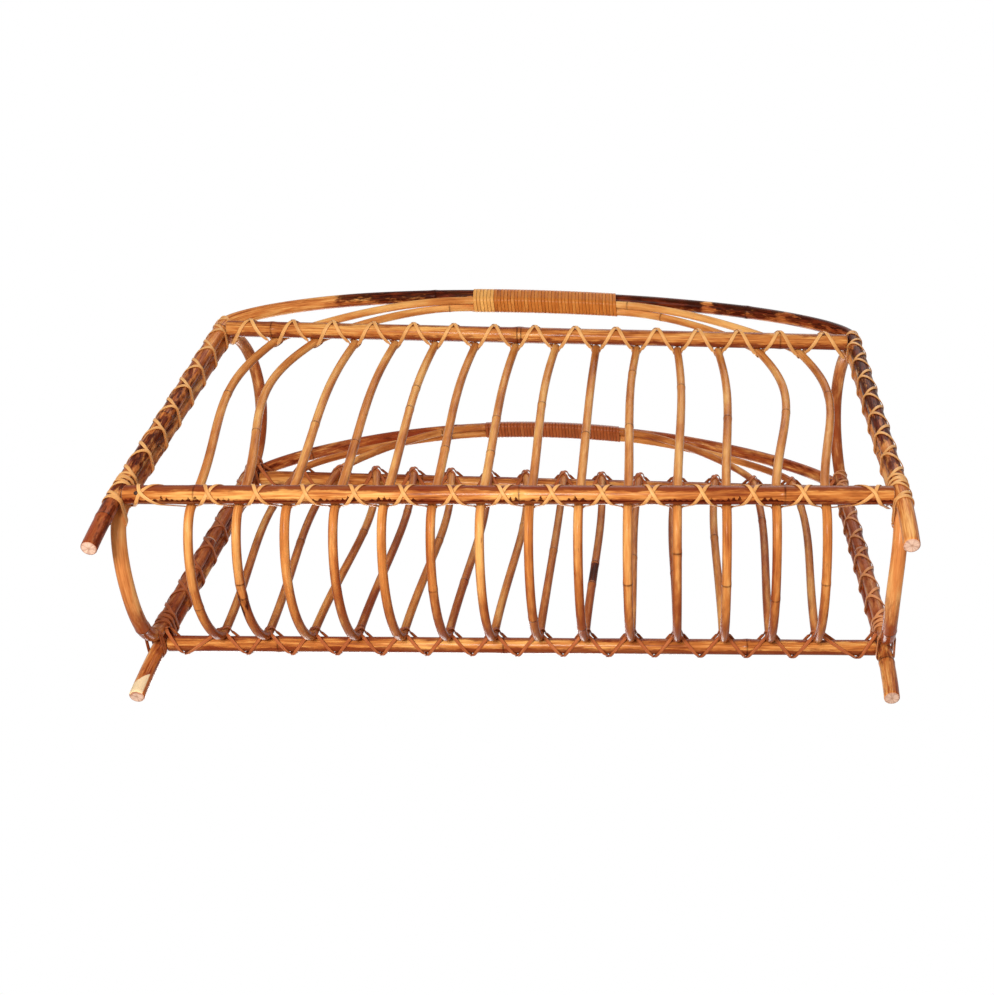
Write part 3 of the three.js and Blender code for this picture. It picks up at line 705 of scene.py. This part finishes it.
hoop_radius = 0.00485
hoop_sides = 24
hoop_nodes = (0.141, 0.3, 0.47, 0.62, 0.75)
hoop_sag = 0.029
hoop_rise = 0.043
hoop_lean = 0.004
hoop_inset = frame_radius + hoop_radius + clearance
butt_height = bottom_rod_height + rod_rise / 2


def hoop_x(z):
    """Half the span of the hoops: as the legs, and leaning in by the square of the share of the
    way to the hoop's top or bottom."""
    above = np.maximum((z - top_rod_height) / hoop_rise, 0)
    below = np.maximum((bottom_rod_height - z) / hoop_sag, 0)
    return half_span(np.maximum(z, bottom_rod_height)) - hoop_lean * (above**2 + below**2)


def hoop_upright(side, end, z):
    """A hoop beside a leg: straight, at an even inset from the leg's axis."""
    return np.stack([end * hoop_x(z), side * (half_depth(z) - hoop_inset), z], axis=-1)


def hoop_path(end):
    """One hoop from the butt down the far side, under the trough, up the near side, over its top
    in an arc of sine and cosine, and down to the butt again."""
    reach = half_depth(bottom_rod_height) - hoop_inset
    top_reach = half_depth(top_rod_height) - hoop_inset
    down = hoop_upright(FAR, end, np.linspace(butt_height - clearance, bottom_rod_height, 60))
    sag = sag_points(0, reach, reach, hoop_sag)[::-1]
    sag[:, 0] = end * hoop_x(sag[:, 2])
    up = hoop_upright(NEAR, end, np.linspace(bottom_rod_height, top_rod_height, 110))
    angle = np.linspace(-np.pi / 2, np.pi / 2, 140)[1:-1]
    z = top_rod_height + hoop_rise * np.cos(angle)
    over = np.stack([end * hoop_x(z), top_reach * np.sin(angle), z], axis=1)
    back = hoop_upright(FAR, end, np.linspace(top_rod_height, butt_height + clearance, 60))
    return np.concatenate([down, sag, up, over, back])


hoop_cane = cane_finish(
    "hoop_cane", ((250, 192, 120), (220, 140, 76), (162, 80, 38), (152, 66, 32), (48, 10, 6), (70, 24, 12)),
    gloss=0.26, blotch=2.0, fine=1.0, broken=1.3, coat=0.07,
)


def hoop_scorch(corners, middle):
    """A hoop is a little burnt where it runs beside the legs, less so towards their tops."""
    return np.interp(corners[..., 2], [0.05, 0.07, 0.16, 0.25, 0.27], [0.0, 0.32, 0.36, 0.12, 0.0])


def hoop_red(corners, middle):
    """A hoop is redder where it curves under the trough and over its top, and redder towards the far
    side, which is painted shade.
    """
    z = corners[..., 2]
    beside_leg = np.interp(z, [0.05, 0.065, 0.2, 0.26, 0.28, 0.31], [0.0, 0.45, 0.5, 0.25, 0.35, 0.45])
    # Painted shade: the hoop is made redder towards the far side, under the trough and all along.
    under = np.exp(-(((z - 0.028) / 0.022) ** 2)) * np.clip(0.6 + corners[..., 1] / 0.06, 0.2, 1)
    return beside_leg + 0.5 * under + 0.2 * np.clip(0.5 + corners[..., 1] / 0.05, 0, 1)


for end_name, end in ENDS.items():
    hoop = cane_piece(
        f"{end_name}_end_hoop_cane", hoop_path(end), hoop_radius, hoop_cane, (1, 0, 0), hoop_sides,
        hoop_nodes, hoop_scorch, hoop_red, 2.9 * end,
    )
    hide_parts(f"{end_name}_end_hoop")

# The handle wraps
# Each handle's grip is wound closely with split cane, 42 turns over the arch cane and the two
# pairs of rib ends under it, which butt together inside.

wrap_turns = 42
wrap_strand_width = 0.00284
wrap_strand_thickness = 0.0007
wrap_gap = 0.0001
wrap_ring_spacing = 0.0013
strand_sides = 10
strand_edge_bend = 0.55
strand_back_bend = 0.7


def strand_piece(name, path, outward, width, thickness, spacing, finish, seed, pale_part=None):
    """A flat strand of split cane: a flattened oval carried along a path, its broad face to the
    outward direction given at each point. The oval's width follows a power of the cosine and its
    thickness a power of the sine, both below 1, so that its face is flat and its edges round."""
    both, length = resampled(path, spacing, outward)
    points, outward = both[:, :3], both[:, 3:]
    tangent = unit(np.gradient(points, axis=0))
    outward = unit(outward - (outward * tangent).sum(axis=1, keepdims=True) * tangent)
    across = np.cross(outward, tangent)
    angle = np.arange(strand_sides) / strand_sides * 2 * np.pi
    u = np.sign(np.cos(angle)) * np.abs(np.cos(angle)) ** strand_edge_bend * width / 2
    v = np.sign(np.sin(angle)) * np.abs(np.sin(angle)) ** strand_back_bend * thickness / 2
    rings = len(points)
    oval = np.stack([u, v], axis=1)
    corners = points[:, None, :] + oval @ np.stack([across, outward], axis=1)
    along = np.repeat(length + seed, strand_sides)
    pale = np.zeros(rings) if pale_part is None else pale_part(points)
    return new_piece(
        name, corners.reshape(-1, 3), tube_faces(rings, strand_sides), finish,
        grain=np.column_stack([np.tile(oval, (rings, 1)), along]),
        edge=np.tile(np.abs(u) / (width / 2), rings), pale=np.repeat(pale, strand_sides),
    )


belt_directions = 720


def hull_outline(circles, offset, start=0.0):
    """The belt round circles: for each direction, the point of the circle that reaches furthest,
    pushed out by the offset. Its straight runs join those arcs. Gives points and directions."""
    angle = start + np.arange(belt_directions + 1) / belt_directions * 2 * np.pi
    direction = np.stack([np.cos(angle), np.sin(angle)], axis=1)
    middles = np.array([circle[:2] for circle in circles])
    radii = np.array([circle[2] for circle in circles])
    best = (direction @ middles.T + radii).argmax(axis=1)
    return middles[best] + direction * (radii[best] + offset)[:, None], direction


def split_cane_finish(name, tints, gloss):
    """Split cane: fine fibres along the strand, a slow change of colour, and darker edges, which are
    painted shade.
    """
    light, middle, dark = (shade(*tint) for tint in tints)
    finish = Finish(name)
    grain = finish.attribute("grain", "Vector")
    edge = finish.attribute("edge")
    pale = finish.attribute("pale")
    slow = finish.noise(grain, (40, 40, 33), 3.0, 0.55)
    streak = finish.noise(grain, (2200, 2200, 60), 3.0, 0.6)
    tone = (slow - 0.5) * 0.8 + (streak - 0.5) * 0.7 + 0.5 + pale
    stops = [(0.0, dark), (0.5, middle), (1.0, light)]
    colour = finish.node("ShaderNodeValToRGB", {"stops": stops}, {"Fac": tone})
    # Painted shade along the strand's edges.
    colour = finish.blend(edge.step(0.8, 1.0) * 0.8, colour, dark)
    finish.fill({
        "Base Color": colour, "Roughness": (slow - 0.5) * 0.3 + gloss, "Coat Weight": 0.08,
        "Coat Roughness": 0.25, "Specular IOR Level": 0.06, "Normal": finish.bumps(streak, 0.0001),
    })
    return finish.material


# The far wrap's finish is a darker, redder copy of the near one: painted shade.
wrap_cane = {
    NEAR: split_cane_finish("wrap_cane", ((242, 178, 96), (204, 118, 48), (128, 54, 18)), 0.32),
    FAR: split_cane_finish("wrap_cane_painted_shade", ((214, 134, 76), (170, 86, 42), (104, 42, 20)), 0.32),
}
pale_end = -0.041
dark_turn = -0.0395


def wrap_pale(points):
    """The near wrap's first seven turns are paler, up to a dark one, and each turn differs a little
    from the next one, by a product of two sines. The dark turn stands in for a gap between two turns,
    and its darkness is painted shade."""
    x = points[:, 0]
    turn = np.floor((x / wrap_length + 0.5) * wrap_turns)
    first = np.clip((pale_end - x) / 0.0015, 0, 1)
    # Painted shade: a dark turn in place of a gap between turns.
    dark = np.exp(-(((x - dark_turn) / 0.0011) ** 2))
    on_near = points[:, 1] < 0
    return on_near * (0.42 * first - 0.6 * dark) + 0.06 * np.sin(2.4 * turn) * np.sin(0.7 * turn)


for side_name, side in SIDES.items():
    middle = arch_points(side, np.array([0.0]))[0]
    slots = [handle_slot(index, side, np.array([0.0]))[0] for index in (0, 1)]
    circles = [(0, 0, frame_radius)] + [(s[1] - middle[1], s[2] - middle[2], rib_radius) for s in slots]
    outline, direction = hull_outline(circles, wrap_gap + wrap_strand_thickness / 2)
    belt, _ = resampled(outline, 0.0006, direction)
    turn = np.tile(belt[:-1], (wrap_turns, 1))
    x = np.linspace(-0.5, 0.5, len(turn)) * (wrap_length - wrap_strand_width)
    path = arch_points(side, x)
    path[:, 1] += turn[:, 0]
    path[:, 2] += turn[:, 1]
    outward = np.stack([0 * x, turn[:, 2], turn[:, 3]], axis=1)
    wrap = strand_piece(
        f"{side_name}_handle_wrap_cane", path, outward, wrap_strand_width, wrap_strand_thickness,
        wrap_ring_spacing, wrap_cane[side], 0.9 * side, pale_part=wrap_pale,
    )
    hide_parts(f"{side_name}_handle_wrap")

# The leg bindings
# Two strands of split cane of opposite hand bind each leg to its hoop. They cross on the inner
# and the outer side, lie close together next to the rods, and climb in open turns between.

binding_width = 0.0027
binding_thickness = 0.00065
binding_steps = 72
binding_ring_spacing = 0.0014
strand_gap = 0.00005
settle_share = 0.12
binding_pass = rod_radius + binding_width / 2 + 2 * clearance
# Each row: turns wound from the bottom, and the height reached
binding_levels = np.array([
    (0, bottom_rod_height - binding_pass - 0.0012), (1, bottom_rod_height - binding_pass + 0.0005),
    (2, bottom_rod_height + binding_pass), (3, bottom_rod_height + binding_pass + 0.0044),
    (4, bottom_rod_height + binding_pass + 0.0092), (11, top_rod_height - binding_pass),
    (12, top_rod_height + binding_pass), (12.5, top_rod_height + binding_pass + 0.0025),
])

# The far strands' finish is a darker, redder copy of the near one: painted shade.
split_cane = {
    NEAR: split_cane_finish("split_cane", ((252, 210, 146), (236, 172, 102), (156, 84, 40)), 0.4),
    FAR: split_cane_finish("split_cane_painted_shade", ((226, 152, 96), (180, 98, 54), (108, 44, 22)), 0.4),
}


def frame_at(side, end, z):
    """The side frame's axis at one height, on its leg or on the arch's shoulder."""
    if z <= shoulder_height:
        return np.array([end * half_span(z), side * half_depth(z), z])
    share = (z - shoulder_height) / (arch_height_top - shoulder_height)
    cosine = share ** (1 / arch_bends[end])
    return arch_points(side, np.array([end * top_half_span * math.sqrt(1 - cosine**2)]))[0]


def hoop_at(side, end, z):
    """The hoop's axis at one height beside a leg, or where it curves away below and above."""
    if z < bottom_rod_height:
        cosine = ((bottom_rod_height - z) / hoop_sag) ** (1 / sag_bend)
        reach = half_depth(bottom_rod_height) - hoop_inset
    elif z > top_rod_height:
        cosine = (z - top_rod_height) / hoop_rise
        reach = half_depth(top_rod_height) - hoop_inset
    else:
        return hoop_upright(side, end, z)
    return np.array([end * hoop_x(z), side * reach * math.sqrt(1 - cosine**2), z])


def binding_path(side, end, hand):
    """A strand round a leg and its hoop. Its height follows the table of levels by turns, and it
    stays level near the inner side, where the rods' ends are. At each height its outline is the
    belt round both canes. It starts at their inner side. The strand of the other hand lies on top
    where the two cross, by a bell curve of the share of a half turn."""
    turns = binding_levels[-1, 0]
    place = np.linspace(0, turns, int(turns * binding_steps) + 1)
    climbed = np.clip((place % 1 - settle_share) / (1 - 2 * settle_share), 0, 1)
    z = np.interp(np.floor(place) + climbed, binding_levels[:, 0], binding_levels[:, 1])
    z = eased(z[:, None], 5)[:, 0]
    axes = np.array([[frame_at(side, end, level), hoop_at(side, end, level)] for level in z])
    angle = hand * 2 * np.pi * place + (np.pi if end == RIGHT else 0)
    direction = np.stack([np.cos(angle), np.sin(angle)], axis=1)
    radii = np.array([frame_radius, hoop_radius])
    reach = (axes[:, :, :2] * direction[:, None, :]).sum(axis=2) + radii
    best = reach.argmax(axis=1)
    rows = np.arange(len(place))
    lift = strand_gap + binding_thickness / 2
    if hand < 0:
        lift = lift + binding_thickness * np.exp(-(((2 * place + 0.5) % 1 - 0.5) / 0.16) ** 2)
    xy = axes[rows, best, :2] + direction * (radii[best] + lift)[:, None]
    path = np.concatenate([xy, z[:, None]], axis=1)
    outward = np.concatenate([direction, np.zeros((len(place), 1))], axis=1)
    return path, outward


def leg_pale(points):
    """The strands of the far right leg are paler than the others of the far side: the far side's
    painted shade is lighter there.
    """
    return 0.5 * ((points[:, 0] > 0) & (points[:, 1] > 0))


for side_name, side in SIDES.items():
    for end_name, end in ENDS.items():
        leg_name = f"{side_name}_{end_name}_leg_binding"
        for hand, letter in ((1, "a"), (-1, "b")):
            path, outward = binding_path(side, end, hand)
            binding = strand_piece(
                f"{leg_name}_{letter}_strand", path, outward, binding_width, binding_thickness,
                binding_ring_spacing, split_cane[side], 0.7 * hand, pale_part=leg_pale,
            )
            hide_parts(leg_name)

# The rod lacings
# Two strands of split cane lace the ribs to each rod. They cross on the outside of the rod in
# each bay, run back over and under it, cross again behind each rib, and start beside the legs.

lacing_width = {"top": 0.0029, "bottom": 0.0025}
lacing_thickness = 0.0007
lacing_end_gap = 0.0006
lacing_steps = 80
lacing_ring_spacing = 0.0011
end_crossing_share = {"top": 0.5, "bottom": 0.3}
# For each rod: the angle round it at which its strands cross, how far they stand off it there, and
# how far above its axis they run behind the ribs
lacing_rows = {
    "near_top": (math.radians(25), 0.0008, 0), "near_bottom": (math.radians(-45), 0, 0.0065),
    "far_top": (0, 0.0003, 0), "far_bottom": (math.radians(-38), 0.001, 0.001),
}


def lacing_path(side_name, level, hand):
    """A taut lacing strand. In each bay it goes once round the belt of the rod and the back of a
    rib, as evenly along X as it goes round, and it meets the other strand at the crossing angle.
    Where it would cut a rib it is pushed straight out from the rib's axis."""
    side, height = SIDES[side_name], LEVELS[level]
    rod = rod_size(side, level)
    crossing_angle, crossing_lift, back_rise = lacing_rows[f"{side_name}_{level}"]
    inset = rod + rib_radius + clearance
    circles = [(0, 0, rod), (-inset, back_rise, rib_radius)]
    outline, direction = hull_outline(circles, strand_gap + lacing_thickness / 2, start=-np.pi)
    belt_steps = np.linalg.norm(np.diff(outline, axis=0), axis=1)
    belt_length = np.concatenate([[0], np.cumsum(belt_steps)])
    belt_angle = np.linspace(-np.pi, np.pi, len(outline))
    crossing = np.interp(crossing_angle, belt_angle, belt_length)
    ribs = rib_x(np.arange(rib_count))
    end_x = half_span(height) - frame_radius - lacing_end_gap
    bounds_x = np.concatenate([[-end_x], ribs, [end_x]])
    meet = np.full(rib_count + 1, 0.5)
    meet[0], meet[-1] = end_crossing_share[level], 1 - end_crossing_share[level]
    meet = meet[:, None]
    u = np.linspace(0, 1, lacing_steps, endpoint=False)[None, :]
    first = np.clip(u / meet, 0, 1)
    second = np.clip((u - meet) / (1 - meet), 0, 1)
    total = belt_length[-1]
    run = crossing * first + (total - crossing) * second
    if hand < 0:
        run = total - (total - crossing) * first - crossing * second
    x = bounds_x[:-1, None] + np.diff(bounds_x)[:, None] * u
    near_meet = np.exp(-(((u - meet) / 0.09) ** 2))
    near_back = np.exp(-((np.minimum(u, 1 - u) / 0.07) ** 2))
    lift = crossing_lift * near_meet
    if hand < 0:
        lift = lift + lacing_thickness * np.maximum(near_meet, near_back)
    belt = np.concatenate([outline, direction], axis=1).T
    out, up, lean, rise = (np.interp(run, belt_length, column) for column in belt)
    up = up + rise * lift
    outward = np.stack([0 * lean, lean, rise], axis=-1)
    points = np.stack([x, out + lean * lift, up], axis=-1)
    clear = rib_radius + strand_gap + lacing_thickness / 2 + (lacing_thickness * near_back if hand < 0 else 0)
    for index in range(rib_count):
        axis_x = np.interp(height + up, *rib_lean(index, side, height))
        away = np.stack([points[..., 0] - axis_x, points[..., 1] + inset], axis=-1)
        distance = np.linalg.norm(away, axis=-1)
        push = np.maximum(clear - distance, 0)
        points[..., :2] += unit(away) * push[..., None]
        turn = np.clip(1 - (distance - clear) / 0.001, 0, 1)[..., None]
        outward[..., :2] = outward[..., :2] * (1 - turn) + unit(away) * turn
        outward[..., 2:] *= 1 - 0.8 * turn
    points[..., 1] = side * (half_depth(height) + points[..., 1])
    points[..., 2] += height
    outward[..., 1] *= side
    both, _ = resampled(points.reshape(-1, 3), 0.0008, outward.reshape(-1, 3))
    both = eased(both, 1)
    return both[:, :3], both[:, 3:]


def rib_lean(index, side, height):
    """A rib's heights near a rod and its X at them, carried straight on above the top rod."""
    z = height + np.array([-0.01, -0.005, 0, 0.005, 0.01])
    x = rib_upright(index, side, z)[:, 0]
    if height == top_rod_height:
        x[3:] = x[2] + (x[2] - x[1]) * np.array([1, 2])
    return z, x


for side_name, side in SIDES.items():
    for level in LEVELS:
        for hand, letter in ((1, "a"), (-1, "b")):
            path, outward = lacing_path(side_name, level, hand)
            node_name = f"{side_name}_{level}_rod_lacing_{letter}"
            lacing = strand_piece(
                f"{node_name}_strand", path, outward, lacing_width[level], lacing_thickness,
                lacing_ring_spacing, split_cane[side], 1.3 * hand,
            )
            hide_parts(node_name)

# The nail
# One small round nail head shows in the left end of the near bottom rod, dulled by varnish.

nail_steel = Finish("nail_steel")
place = nail_steel.node("ShaderNodeTexCoord", out="Object")
tarnish = nail_steel.noise(place, (900, 900, 900), 3.0, 0.6)
rust = nail_steel.blend(tarnish.step(0.4, 0.6), shade(76, 44, 28), shade(40, 22, 16))
nail_steel.fill({"Base Color": rust, "Roughness": tarnish * 0.4 + 0.3, "Metallic": 0.4})

nail_sides = 24
nail_inset = 0.0155
nail_turn = math.radians(46)
nail_sink = 0.00185
angle = np.linspace(0, 2 * np.pi, nail_sides, endpoint=False)
# The nail's turned profile from its point to its head: each ring's radius and its height
profile = np.array([
    (0.00002, 0.0), (0.0008, 0.0004), (0.0008, 0.0081), (0.0014, 0.0082), (0.0014, 0.0085),
    (0.0009, 0.0088), (0.00002, 0.0089),
])
radial, rise = profile[:, 0][:, None], profile[:, 1][:, None] - nail_sink
u, v, w = radial * np.cos(angle), rise + 0 * angle, radial * np.sin(angle)
nail_points = np.stack([
    u + nail_inset - half_span(bottom_rod_height),
    -(v * math.cos(nail_turn) - w * math.sin(nail_turn)) - half_depth(bottom_rod_height),
    -(v * math.sin(nail_turn) + w * math.cos(nail_turn)) + bottom_rod_height,
], axis=-1)
nail_faces = tube_faces(len(profile), nail_sides)
nail = new_piece("near_bottom_rod_nail_head", nail_points.reshape(-1, 3), nail_faces, nail_steel.material)
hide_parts("near_bottom_rod_nail")

# The floor, the light and the camera
# The rack stands on a pale floor, which looks brighter to the camera than its light makes it. The
# photograph looks up at the rack from under its near side, so the floor is see-through from
# below, and soft lamps under it, above it and behind it light the rack.

floor_mesh = bpy.data.meshes.new("floor")
floor_mesh.from_pydata([(-3, -3, 0), (3, -3, 0), (3, 3, 0), (-3, 3, 0)], [], [(0, 1, 2, 3)])
floor = bpy.data.objects.new("floor", floor_mesh)
floor.location.z = -0.0002
bpy.context.scene.collection.objects.link(floor)
floor.visible_shadow = False
pale = Finish("pale_floor")
pale.fill({"Base Color": shade(244, 243, 240), "Roughness": 0.9})
seen = pale.node("ShaderNodeLightPath", out="Is Camera Ray")
lit = pale.node("ShaderNodeEmission", None, {"Color": (1.0, 1.0, 1.0), "Strength": 1.0})
matt = Value(pale, pale.shader.outputs[0])
shown = pale.node("ShaderNodeMixShader", None, {0: seen * 0.55, 1: matt, 2: lit})
behind = pale.node("ShaderNodeNewGeometry", out="Backfacing")
clear = pale.node("ShaderNodeBsdfTransparent")
mixed = pale.node("ShaderNodeMixShader", None, {0: behind, 1: shown, 2: clear})
pale.join(pale.tree.nodes["Material Output"].inputs["Surface"], mixed)
floor_mesh.materials.append(pale.material)

world = bpy.data.worlds.new("studio")
bpy.context.scene.world = world
world.use_nodes = True
sky = Nodes(world.node_tree)
kinds = ("Camera", "Glossy", "Transmission")
rays = [sky.node("ShaderNodeLightPath", out=f"Is {kind} Ray") for kind in kinds]
background = sky.tree.nodes["Background"]
sky.join(background.inputs["Strength"], rays[0].most(rays[1]).most(rays[2]) * 0.91 + 0.09)
background.inputs["Color"].default_value = (1, 1, 1, 1)


def placed(right, up, back, place):
    """The matrix of a lamp or camera from its three axes and its place."""
    return Matrix(np.vstack([np.column_stack([right, up, back, place]), [0, 0, 0, 1]]).tolist())


def lamp(name, place, size, power):
    """A square soft lamp that faces the middle of the rack."""
    light = bpy.data.lights.new(name, "AREA")
    light.shape = "SQUARE"
    light.size = size
    light.energy = power
    made = bpy.data.objects.new(name, light)
    forward = unit(np.subtract((0, 0, 0.15), place))
    right = unit(np.cross(forward, (0.01, 0.02, 1.0)))
    up = np.cross(right, forward)
    made.matrix_world = placed(right, up, -forward, place)
    bpy.context.scene.collection.objects.link(made)


lamp("key_lamp", (-0.15, -0.9, -0.85), 0.3, 15)
lamp("top_lamp", (0.3, -0.9, 1.9), 1.2, 14)
lamp("back_lamp", (-0.4, 1.6, 0.9), 1.0, 20)

# The camera was fitted to points of the photograph, whose optical centre lies right of its middle
yaw, elevation, roll = -0.08313013, 0.98138812, -0.06995563
camera_place = (0.11184316, -0.50137822, -0.60494468)
focal_pixels = 1232.46987
picture_width = 994
longer_side = 995
optical_centre = 620
level_share = math.cos(elevation)
forward = np.array([math.sin(yaw) * level_share, math.cos(yaw) * level_share, math.sin(elevation)])
right = np.array([math.cos(yaw), -math.sin(yaw), 0.0])
down = np.cross(forward, right)
rolled_right = right * math.cos(roll) + down * math.sin(roll)
rolled_down = down * math.cos(roll) - right * math.sin(roll)
camera_data = bpy.data.cameras.new("camera")
camera_data.sensor_width = 36
camera_data.lens = focal_pixels * camera_data.sensor_width / longer_side
camera_data.shift_x = (picture_width / 2 - optical_centre) / longer_side
camera_data.clip_start, camera_data.clip_end = 0.01, 50
camera = bpy.data.objects.new("camera", camera_data)
camera.matrix_world = placed(rolled_right, -rolled_down, -forward, camera_place)
bpy.context.scene.collection.objects.link(camera)
bpy.context.scene.camera = camera
bpy.context.scene.view_settings.view_transform = "Standard"
